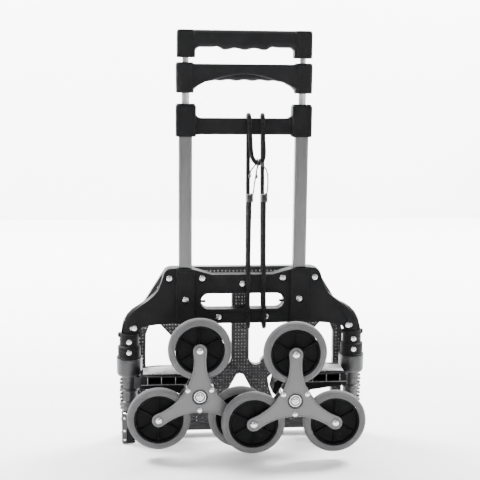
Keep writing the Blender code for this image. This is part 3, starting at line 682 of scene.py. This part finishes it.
# ---------------------------------------------------------------- tubes
for side, s in SIDES.items():
    outer = rounded(22, 18, 4, s * TUBE_X, TUBE_Y)
    inner = rounded(19, 15, 2.5, s * TUBE_X, TUBE_Y)
    shell = boolean(prism(bmesh.new(), outer, 196, 545, "Z"), prism(bmesh.new(), inner, 190, 550, "Z"))
    show(f"main_tube_{side}", shell, "frame", tube, (f"frame_tube_{side}",), crease=40)
    axis = (s * TUBE_X, TUBE_Y, 0)
    show(f"middle_tube_{side}", turned(bmesh.new(), axis, [(6.25, 262), (6.25, 608), (5.3, 608), (5.3, 262)], 40, "Z"), "mid_stage", bright_tube, (f"stage2_tube_{side}",))
    show(f"upper_tube_{side}", turned(bmesh.new(), axis, [(5.0, 300), (5.0, 656), (3.8, 656), (3.8, 300)], 40, "Z"), "top_stage", bright_tube, (f"stage3_tube_{side}",))

# ---------------------------------------------------------------- yoke
def bar_ring(x, y0, y1, z0, z1, r, n=6):
    """A rounded rectangle in the Y-Z plane at x."""
    r = min(r, (y1 - y0) / 2 - 0.01, (z1 - z0) / 2 - 0.01)
    return [(x, y, z) for y, z in rounded(y1 - y0, z1 - z0, r, (y0 + y1) / 2, (z0 + z1) / 2, n)]


def leg(x, rings, n=8):
    """A vertical post lofted through (z, width, depth, radius) steps."""
    return loft(bmesh.new(), [[(px, py, z) for px, py in rounded(w, d, min(r, w / 2 - 0.01, d / 2 - 0.01), x, TUBE_Y, n)] for z, w, d, r in rings])


yoke_rings = []
for k in range(41):
    x = -84 + 168 * k / 40
    near = max(0.0, abs(x) - 70) / 11.0
    rise = 9.5 * min(near, 1.0) ** 2
    drop = 0.0 if abs(x) < 74 else 2.0 * min((abs(x) - 74) / 6, 1.0) ** 2
    yoke_rings.append(bar_ring(x, 3, 19, 502.5 - drop, 529 + rise, 2.6))
yoke = loft(bmesh.new(), yoke_rings)
for s in (-1, 1):
    yoke = union(yoke, leg(s * 94.4, [(499.0, 30.0, 26.0, 4.6), (499.6, 31.8, 28.0, 5.1), (501, 32.6, 28.8, 5.5), (540, 32.8, 29.0, 5.5), (547.5, 32.6, 28.8, 5.5),
                                    (549.0, 31.8, 28.0, 5.1), (549.4, 29.4, 26.4, 5), (550.9, 29.2, 26.2, 5), (551.6, 28.4, 25.4, 4.8)]))
holes = bmesh.new()
for s in (-1, 1):
    prism(holes, rounded(22.6, 18.6, 4.2, s * TUBE_X, TUBE_Y), 490, 545.3, "Z")
yoke = boolean(yoke, holes)
holes = bmesh.new()
for s in (-1, 1):
    turned(holes, (s * TUBE_X, TUBE_Y, 0), [(0, 540), (6.9, 540), (6.9, 549.8), (8.6, 550.4), (9.4, 552.5), (0, 552.5)], 40, "Z")
yoke = boolean(yoke, holes)
show("cross_yoke", yoke, "frame", black, ("yoke",), crease=36)

# ---------------------------------------------------------------- handles
def under(x):
    """The underside of the middle handle's grip."""
    far = abs(x)
    line = [(0, 589.3), (47, 589.3), (63, 586.5), (74, 580.5), (80, 575.8), (83, 570.4), (200, 570.4)]
    for (x0, z0), (x1, z1) in zip(line, line[1:]):
        if far <= x1:
            low = z0 + (z1 - z0) * (far - x0) / (x1 - x0)
            break
    return low + (0.8 * math.cos(2 * math.pi * x / 26.0) if far < 45.5 else 0.0)


def arch(x, crest):
    """The lower edge of the middle handle's cover."""
    return max(crest - 0.01221 * abs(x) ** 1.71, under(x) + 0.5)


bar = []
for k in range(81):
    x = -84.5 + 169 * k / 80
    bar.append(bar_ring(x, 5.0, 21.4, under(x), 613.6, 7.0))
middle = loft(bmesh.new(), bar)
for y0, y1, crest, high in ((-0.8, 8.2, 599.6, 615.3), (13.1, 22.9, 597.0, 615.1)):
    cover = [bar_ring(x, y0, y1, arch(x, crest), high, 3.2) for x in [-85.5 + 171 * k / 64 for k in range(65)]]
    middle = union(middle, loft(bmesh.new(), cover))
for s in (-1, 1):
    middle = union(middle, leg(s * 96, [(569.0, 25, 25, 8), (569.5, 27.4, 27.4, 9.5), (570.8, 28.8, 28.8, 10), (611, 29.4, 28.9, 10), (614.4, 28.9, 28.5, 10),
                                        (616.6, 27.2, 27.0, 9.5), (617.5, 24.5, 24.4, 8)]))
holes = bmesh.new()
for s in (-1, 1):
    turned(holes, (s * TUBE_X, TUBE_Y, 0), [(0, 560), (6.6, 560), (6.6, 608.4), (5.7, 608.4), (5.7, 615.9), (7.4, 616.4), (8.2, 619), (0, 619)], 40, "Z")
middle = boolean(middle, holes)
show("middle_grip", middle, "mid_stage", grip, ("mid_handle",), crease=36)


def scallop(x):
    """The underside of the top grip: finger hollows between three ridges."""
    if abs(x) > 53:
        return 641.5
    if abs(x) > 45:
        return 642.6 - 1.1 * (abs(x) - 45) / 8
    wave = 638.9 - 1.35 * math.cos(2 * math.pi * x / 31.0)
    ease = max(0.0, (abs(x) - 36.0) / 9.0)
    return wave * (1 - ease) + 642.6 * ease


bar = []
for k in range(101):
    x = -86 + 172 * k / 100
    low = scallop(x)
    if abs(x) > 72:
        low -= 9.0 * min((abs(x) - 72) / 9.5, 1.0) ** 2.2
    squeeze = 0.45 * math.exp(-((abs(x) - 54.0) / 0.8) ** 2)
    bar.append(bar_ring(x, 0 + squeeze, 22 - squeeze, low, 668.7 - squeeze, 8.0, 8))
top = loft(bmesh.new(), bar)
for s in (-1, 1):
    top = union(top, leg(s * 94.3, [(625.0, 26.5, 23.5, 5), (625.5, 28.6, 25.8, 5.5), (626.6, 29.4, 26.8, 6), (640, 29.6, 27.0, 6), (659, 29.6, 26.6, 6),
                                     (665.6, 29.2, 26.0, 6), (667.8, 27.6, 24.4, 5.5), (668.8, 25.0, 22.0, 5)]))
holes = bmesh.new()
for s in (-1, 1):
    rod(holes, (s * TUBE_X, TUBE_Y, 0), 5.4, 615, 656.4, 40, "Z")
    turned(holes, (s * 82.0, 0, 636), [(0, -4), (1.9, -4), (1.9, 0.7), (1.2, 1.1), (0, 1.1)], 24)
top = boolean(top, holes)
show("top_grip", top, "top_stage", grip, ("top_handle",), crease=36)

# ---------------------------------------------------------------- columns, cups and feet
for side, s in SIDES.items():
    axis = (s * COL_X, COL_Y, 0)
    show(f"column_tube_{side}", turned(bmesh.new(), axis, [(9, -9), (9, 197), (7, 197), (7, -9)], 40, "Z"), "frame", zinc, (f"column_post_{side}",))
    sleeve = turned(bmesh.new(), axis, [(15.3, 174.3), (16, 173.6), (16, 169.5), (16.5, 169.0), (16.5, 166.6), (16, 166.1), (16, 154.2), (16.4, 153.2), (18.6, 151.7), (19, 151.1), (19, 145.2), (18.7, 144.9), (18.7, 144.5),
                                        (19, 144.2), (19, 134.2), (20.8, 133.4), (21.1, 133.0), (21.1, 131.9), (20.8, 131.5), (9.4, 131.5), (9.4, 174.3)], 64, "Z")
    ears = bmesh.new()
    block(ears, *sorted((s * (COL_X + 11), s * (COL_X + 18.6))), 5.5, 12.5, 167.5, 174.2)
    block(ears, *sorted((s * (COL_X - 11), s * (COL_X - 17.8))), 5.5, 12.5, 168.5, 174.2)
    sleeve = union(sleeve, ears)
    holes = bmesh.new()
    for z, reach in ((161, -6.0), (143.6, -8.6)):
        rod(holes, (s * COL_X, 0, z), 6.2, -30, reach, 32)
    sleeve = boolean(sleeve, holes)
    show(f"collar_sleeve_{side}", sleeve, "frame", black, (f"column_sleeve_{side}",), crease=30)
    cup = turned(bmesh.new(), axis, [(20.6, 131.2), (21.2, 130.6), (21.2, 128.6), (20.9, 128.2), (20.9, 127.6), (21.2, 127.2), (21.2, 107.6), (20.9, 105.8), (19.8, 102.9), (18.9, 102.0), (9.4, 102.0), (9.4, 131.2)], 64, "Z")
    show(f"cast_cup_{side}", cup, "frame", cast, (f"cup_{side}",), crease=30)
    show(f"foot_casting_{side}", from_cad(f"foot_block_{side}"), "frame", black, (f"foot_block_{side}",), bevel=0.6, segs=3)
    cheek = from_cad(f"foot_plate_{side}")
    show(f"foot_cheek_{side}", cheek, "frame", cast, (f"foot_plate_{side}",), bevel=0.35, segs=2)
    strip = prism(bmesh.new(), [(s * x, z) for x, z in ((201.2, 36.5), (191.5, 36.5), (191.0, 20), (193.5, 6), (193.5, -12), (195, -14.2), (200.4, -14.2), (201.2, -12))], -4.3, -2.2)
    washer = turned(bmesh.new(), axis, [(9.2, 37.2), (16.2, 37.2), (16.8, 37.6), (16.8, 38.6), (16.2, 39.0), (9.2, 39.0)], 56, "Z")
    show(f"foot_strip_{side}", strip, "frame", cast, bevel=0.4, segs=2)
    show(f"foot_washer_{side}", washer, "frame", zinc, crease=30)
    studs = bmesh.new()
    for z in (30.0, 8.0, -8.0):
        dome(studs, (s * 196.6, 0, z), 2.2, -4.35, 0.9, 0.2, 20)
    show(f"foot_studs_{side}", studs, "frame", zinc, crease=30)
    bolts = bmesh.new()
    for y, z in ((0.0, 28.0), (33.0, -8.0)):
        flat = s * 201.3
        turned(bolts, (0, y, z), [(0, flat + s * 2.6), (2.2, flat + s * 2.5), (3.6, flat + s * 1.7), (4.0, flat + s * 0.8), (4.0, flat + s * 0.1), (0, flat + s * 0.1)], 28, "X")
        turned(bolts, (0, y, z), [(0, s * 201.4), (1.9, s * 201.4), (1.9, s * 191.0), (0, s * 191.0)], 16, "X")
    show(f"foot_bolts_{side}", bolts, "frame", zinc, crease=30)

# ---------------------------------------------------------------- swing arms
for side, s in SIDES.items():
    axis = (s * COL_X, COL_Y, 0)
    body = f"{side}_swing"
    face = FACE_Y[side]
    barrel = turned(bmesh.new(), axis, [(13.0, 101.2), (13.5, 100.7), (13.5, 92.0), (13.1, 91.6), (13.1, 90.6), (13.5, 90.2), (13.5, 79.5), (15.6, 78.7), (16, 78.2), (16, 76.0), (15.6, 75.5), (13, 74.5), (13, 58.8),
                                        (15.1, 57.3), (15.5, 56.8), (15.5, 52.6), (14.9, 52.2), (14.9, 51.4), (15.5, 51.0), (15.5, 45.4), (15.1, 44.8), (13, 39.6), (12.6, 39.2), (9.5, 39.2), (9.5, 101.2)], 64, "Z")
    web = prism(bmesh.new(), [(s * x, z) for x, z in ((180.5, 80), (180.5, 100.6), (167, 100.6), (165, 116.0), (159, 118.0), (140, 119.4), (112, 119), (93, 117.2), (88, 114.9), (88, 100), (150, 84))], -3.6, 1.2)
    barrel = union(barrel, web)
    show(f"knuckle_casting_{side}", barrel, body, cast, (f"swing_knuckle_{side}",), crease=34)
    # the domed top of the arm, coloured light grey as a painted sheen, with a thin bright strip along its edge as a
    # painted highlight
    rings = []
    for k in range(33):
        x = 88 + (165.5 - 88) * k / 32
        t = k / 32
        crown = 117.6 + 2.6 * math.sin(math.pi * min(1.0, t * 1.1)) - (2.2 * max(0.0, t - 0.9) / 0.1)
        low = 115.5
        crown = max(crown - (1.6 * max(0.0, 0.1 - t) / 0.1), low + 0.7)
        ring = [(s * x, y, z) for y, z in [(-38.0, low), (-38.0, low + (crown - low) * 0.3), (-36.6, low + (crown - low) * 0.66), (-33.0, low + (crown - low) * 0.88), (-26, crown), (-15, crown),
                                         (-8, low + (crown - low) * 0.9), (-4.4, low + (crown - low) * 0.66), (-3.2, low + (crown - low) * 0.3), (-3.2, low)]]
        rings.append(ring)
    show(f"arm_top_{side}", loft(bmesh.new(), rings), body, painted_arm_sheen, crease=50)
    # painted highlight: a thin bright zinc-coloured strip along the edge of the arm's top
    edge = loft(bmesh.new(), [[(s * x, y, z) for y, z in ((-38.0, 114.8), (-38.0, 115.5), (-3.2, 115.5), (-3.2, 114.8))] for x in (88.0, 165.5)])
    show(f"arm_edge_highlight_{side}", edge, body, zinc, bevel=0.2)
    arm = from_cad(f"swing_arm_{side}")
    show(f"arm_casting_{side}", arm, body, black, (f"swing_arm_{side}",), bevel=0.5, segs=2)
    # painted highlight: thin light grey strips on the front edges of the arm's ribs
    ribs = bmesh.new()
    for x in (113.0, 135.8, 158.2):
        block(ribs, *sorted((s * (x - 0.5), s * (x + 0.5))), -46.5, -45.8, 99.8, 112.6)
    block(ribs, *sorted((s * 88, s * 169)), -46.5, -45.8, 99.4, 100.2)
    show(f"arm_rib_edge_highlights_{side}", ribs, body, painted_arm_sheen, bevel=0.15)
    teeth = bmesh.new()
    for k in range(9):
        z = 43.5 + k * 6.2
        out = 1.9 if k % 2 else 1.2
        block(teeth, *sorted((s * (COL_X + 12.2), s * (COL_X + 14.6 + out))), COL_Y - 6.5, COL_Y + 1.5, z, z + 3.4)
    show(f"knuckle_teeth_{side}", teeth, body, cast, bevel=0.4)

# ---------------------------------------------------------------- toe plate
OUTLINE = mirrored([(0, 280), (120, 280), (128, 276.5), (148, 244), (167, 214), (172, 190), (176, 160), (177, 60), (176, -3), (170, -7), (0, -7)])
WINDOWS = [mirrored([(0, 93), (6, 91), (14, 76), (40, 26), (0, 26)])]
for s in (-1, 1):
    WINDOWS.append([(s * x, z) for x, z in [(15, 250), (15, 120.5)] + arc(28, 120.5, 13, 180, 300, 9) + [(36, 115.5), (140, 231), (128, 250)]])
    WINDOWS.append([(s * x, z) for x, z in ((48, 84), (51, 66), (66, 26), (158, 26), (161, 120), (160, 165), (150, 190), (145, 191))])


def inside(p, loop):
    found = False
    for (x0, z0), (x1, z1) in zip(loop, loop[1:] + loop[:1]):
        if (z0 > p[1]) != (z1 > p[1]) and p[0] < (x1 - x0) * (p[1] - z0) / (z1 - z0) + x0:
            found = not found
    return found


def edge_distance(p, loop):
    best = 1e9
    for (x0, z0), (x1, z1) in zip(loop, loop[1:] + loop[:1]):
        dx, dz = x1 - x0, z1 - z0
        t = max(0.0, min(1.0, ((p[0] - x0) * dx + (p[1] - z0) * dz) / max(dx * dx + dz * dz, 1e-9)))
        best = min(best, math.hypot(p[0] - x0 - t * dx, p[1] - z0 - t * dz))
    return best


board = from_cad("toe_plate")
drill = bmesh.new()
spots = []
for i in range(-34, 35):
    for j in range(0, 49):
        p = (2.55 + 5.1 * i, -1.0 + 5.85 * j)
        if 4 < p[1] < 24 and abs(p[0]) > 150:
            continue
        if not inside(p, OUTLINE) or any(inside(p, w) for w in WINDOWS) or p[1] < 22.6 or p[1] > 262:
            continue
        if edge_distance(p, OUTLINE) < 5.0 or min(edge_distance(p, w) for w in WINDOWS) < 2.6:
            continue
        spots.append(p)
spots += [(2.55 + 5.1 * i, z) for i in range(-29, 29) for z in (16.0, 10.4)]
spots += [(k * 6.4, 272.3) for k in range(-18, 19)]
for p in spots:
    rod(drill, (p[0], 0, p[1]), 1.5, 29, 47, 6)
board = boolean(board, drill)
grooves = bmesh.new()
for z in (4.6, 0.6):
    block(grooves, -162, 162, 30, 31.6, z - 0.5, z + 0.5)
board = boolean(board, grooves)
show("toe_board", board, "toe", toe, ("toe_plate",), bevel=0.3, segs=2)
edges = bmesh.new()
for s in (-1, 1):
    block(edges, *sorted((s * 15.0, s * 13.6)), 30.4, 31.2, 121, 250)
show("toe_rib_edges", edges, "toe", toe, bevel=0.3)
for side, s in SIDES.items():
    show(f"toe_pivot_{side}", rod(bmesh.new(), (0, 37.5, 3.0), 3.0, s * 164, s * 192, 28, "X"), "frame", zinc, (f"toe_hinge_pin_{side}",))


# ---------------------------------------------------------------- bungee cord
def smooth_route(points, count):
    fine = []
    padded = [points[0]] + points + [points[-1]]
    for p0, p1, p2, p3 in zip(padded, padded[1:], padded[2:], padded[3:]):
        a, b, c, d = Vector(p0), Vector(p1), Vector(p2), Vector(p3)
        for i in range(16):
            t = i / 16
            fine.append(0.5 * ((2 * b) + (c - a) * t + (2 * a - 5 * b + 4 * c - d) * t * t + (3 * b - a - 3 * c + d) * t ** 3))
    fine.append(Vector(points[-1]))
    lengths = [0.0]
    for i, (a, b) in enumerate(zip(fine, fine[1:])):
        turn = (fine[i + 1] - fine[i]).angle(fine[i + 2] - fine[i + 1], 0.0) if i + 2 < len(fine) else 0.0
        lengths.append(lengths[-1] + (b - a).length / 40 + turn / 0.36)
    spots, j = [], 0
    for i in range(count):
        goal = lengths[-1] * i / (count - 1)
        while j < len(lengths) - 2 and lengths[j + 1] < goal:
            j += 1
        t = (goal - lengths[j]) / max(lengths[j + 1] - lengths[j], 1e-9)
        spots.append(fine[j].lerp(fine[j + 1], t))
    return spots


def tube_along(bm, spots, radius, sides=14, uv=True):
    """A round tube along points, with u round it and v in centimetres along it."""
    layer = bm.loops.layers.uv.get("UVMap") or bm.loops.layers.uv.new("UVMap")
    spots = [Vector(p) for p in spots]
    tangents = []
    for i in range(len(spots)):
        tangents.append((spots[min(i + 1, len(spots) - 1)] - spots[max(i - 1, 0)]).normalized())
    side = tangents[0].orthogonal().normalized()
    rings, along = [], [0.0]
    for i, (p, t) in enumerate(zip(spots, tangents)):
        if i:
            side = tangents[i - 1].rotation_difference(t) @ side
            along.append(along[-1] + (p - spots[i - 1]).length)
        side = (side - t * side.dot(t)).normalized()
        other = t.cross(side)
        r = radius(i / (len(spots) - 1)) if callable(radius) else radius
        rings.append([bm.verts.new(put(*(p + (side * math.cos(2 * math.pi * k / sides) + other * math.sin(2 * math.pi * k / sides)) * r))) for k in range(sides)])
    for i, (a, b) in enumerate(zip(rings, rings[1:])):
        for k in range(sides):
            j = (k + 1) % sides
            face = bm.faces.new((a[k], a[j], b[j], b[k]))
            for loop, (u, v) in zip(face.loops, ((k, i), (k + 1, i), (k + 1, i + 1), (k, i + 1))):
                loop[layer].uv = (u / sides, along[v] / 10)
    bm.faces.new(rings[0][::-1])
    bm.faces.new(rings[-1])
    return bm


ROUTE = [
    (9.5, -4.6, 402), (9, -4.6, 360), (8.5, -4.6, 300), (8.5, -4.6, 230), (9, -4.6, 200), (9.6, -4.2, 188),
    (10.5, 4, 182.0), (11, 11, 180.6), (11, 19, 182.2), (10.8, 26.3, 188), (10.6, 26.9, 200), (10.4, 26.5, 250), (10, 26, 320),
    (9.5, 25, 400), (9, 24.4, 470), (8.6, 23.8, 512), (8.4, 23.3, 524), (8.2, 22.2, 531.4), (8, 18.5, 533.8), (7.8, 11, 534.4), (7.6, 3.5, 533.8), (7.8, -0.2, 531.4), (8.2, -1.5, 524), (8.8, -2.2, 510),
    (9.8, -3, 495), (11.0, -4.6, 476), (14.2, -6.6, 463.6), (22.4, -7.2, 456.6), (30.0, -6.4, 463),
    (31.8, -4.4, 476), (30.8, -3, 495), (30.2, -2.2, 510), (29.9, -1.5, 524), (29.9, -0.2, 531.4), (30, 3.5, 533.8), (30.5, 11, 534.4), (31, 18.5, 533.8), (31.2, 22.2, 531.4), (31.6, 23.3, 524), (32, 23.8, 512), (32.8, 24.4, 470),
    (33.6, 25, 400), (34.6, 26, 320), (36, 26.5, 250), (37, 26.9, 200), (37.4, 26.3, 188),
    (37.6, 19, 182.2), (37.4, 11, 180.6), (37, 4, 182.0), (36.4, -4.2, 188),
    (36, -4.6, 200), (35, -4.6, 230), (33.8, -4.6, 300), (33.2, -4.6, 360), (33, -4.6, 402),
]
rope = smooth_route(ROUTE, 420)
show("braided_cord", tube_along(bmesh.new(), rope, 3.5, 18), "frame", braid, ("bungee_cord",), crease=60)
HOOKS = {
    "left": [(9.5, -4.6, 396), (9.8, -6.0, 403), (14.5, -9.5, 408.6), (16, -12.8, 425), (19, -14.2, 445), (20.8, -13.6, 455.4), (20.9, -11.6, 461.4), (20.9, -7.2, 463.8),
             (20.8, -2.8, 461.6), (20.4, -0.8, 457), (15, 0.4, 449.5), (10.8, 0.6, 443), (9.8, 0.4, 436)],
    "right": [(33.0, -4.6, 396), (33.2, -5.8, 403), (37, -8.4, 408.6), (38, -11.6, 430), (35, -14.2, 447), (27.5, -14.6, 455), (24.8, -12.8, 461), (24.4, -9.8, 463.6), (24.3, -6.6, 464.2),
              (24.3, -2.8, 461.8), (24.2, -0.8, 458), (22.5, 0.8, 450), (20.5, 1.0, 443), (20.8, 0.6, 435)],
}
for side, points in HOOKS.items():
    line = smooth_route(points, 90)
    wire = tube_along(bmesh.new(), line, 1.15, 12)
    tip, inward = line[-1], (line[-1] - line[-4]).normalized()
    bulb = [tip - inward * 3.0 + inward * 6.4 * k / 10 for k in range(11)]
    tube_along(wire, bulb, lambda t: 0.5 + 1.75 * math.sin(math.pi * (0.08 + 0.84 * t)) ** 0.8, 14)
    show(f"wire_hook_{side}", wire, "frame", cable, (f"bungee_hook_{side}",), crease=50)
    cx = 9.6 if side == "left" else 33.1
    coil = []
    for k in range(151):
        a = 2 * math.pi * k / 150 * 6.2
        z = 393.8 + 13.0 * k / 150
        coil.append((cx + 4.9 * math.cos(a), -4.6 + 4.9 * math.sin(a), z))
    show(f"wire_coil_{side}", tube_along(bmesh.new(), coil, 1.08, 10), "frame", cable, crease=50)

# ---------------------------------------------------------------- remaining CAD nodes
for name, obj in nodes.items():
    if obj.hide_render:
        continue
    paint = {"guide_bush_left": black, "guide_bush_right": black}.get(name, black)
    obj.data.materials.clear()
    obj.data.materials.append(paint.mat)

# ---------------------------------------------------------------- floor, lights, camera
floor_paint = Paint("floor_finish", (0.86, 0.86, 0.86), 0.75)
floor_paint.mottled(floor_paint.ranged(floor_paint.noise(6.0, 3.0), 0, 1), 0.01)
bm = bmesh.new()
corner = [bm.verts.new((x, y, 0.0)) for x, y in ((-14, -14), (14, -14), (14, 14), (-14, 14))]
bm.faces.new(corner)
mesh = bpy.data.meshes.new("floor")
bm.to_mesh(mesh)
bm.free()
mesh.materials.append(floor_paint.mat)
floor = bpy.data.objects.new("floor", mesh)
bpy.context.scene.collection.objects.link(floor)
bm = bmesh.new()
bm.faces.new([bm.verts.new((x, 2.6, z)) for x, z in ((-9, -0.5), (9, -0.5), (9, 7), (-9, 7))])
mesh = bpy.data.meshes.new("backdrop")
bm.to_mesh(mesh)
bm.free()
mesh.materials.append(floor_paint.mat)
backdrop = bpy.data.objects.new("backdrop", mesh)
bpy.context.scene.collection.objects.link(backdrop)

world = bpy.data.worlds.new("soft_white")
world.use_nodes = True
world.node_tree.nodes["Background"].inputs["Color"].default_value = (1.0, 1.0, 1.0, 1.0)
world.node_tree.nodes["Background"].inputs["Strength"].default_value = 0.34
bpy.context.scene.world = world


def lamp(name, spot, aim, size, power):
    light = bpy.data.lights.new(name, "AREA")
    light.shape = "RECTANGLE"
    light.size, light.size_y = size
    light.energy = power
    obj = bpy.data.objects.new(name, light)
    bpy.context.scene.collection.objects.link(obj)
    obj.location = spot
    obj.rotation_euler = (Vector(aim) - Vector(spot)).to_track_quat("-Z", "Y").to_euler()


lamp("key", (-1.3, -1.9, 1.7), (0, 0, 0.3), (0.9, 1.1), 22)
lamp("fill", (1.7, -1.5, 0.9), (0, 0, 0.3), (0.8, 1.2), 10)
lamp("top", (0.1, -0.3, 2.2), (0, 0, 0.3), (1.2, 1.2), 14)
lamp("backdrop_left", (-1.6, 1.1, 2.3), (-0.3, 2.6, 0.7), (1.2, 1.2), 460)
lamp("backdrop_right", (1.6, 1.1, 2.3), (0.3, 2.6, 0.7), (1.2, 1.2), 460)

lens = bpy.data.cameras.new("camera")
lens.lens = 75.76
lens.sensor_width = 36.0
lens.clip_end = 60.0
camera = bpy.data.objects.new("camera", lens)
bpy.context.scene.collection.objects.link(camera)
camera.matrix_world = Matrix((
    (0.99505, 0.00642, -0.09918, -0.1702),
    (-0.09887, 0.16618, -0.98113, -1.5993),
    (0.01018, 0.98608, 0.16599, 0.6210),
    (0.0, 0.0, 0.0, 1.0),
))
bpy.context.scene.camera = camera
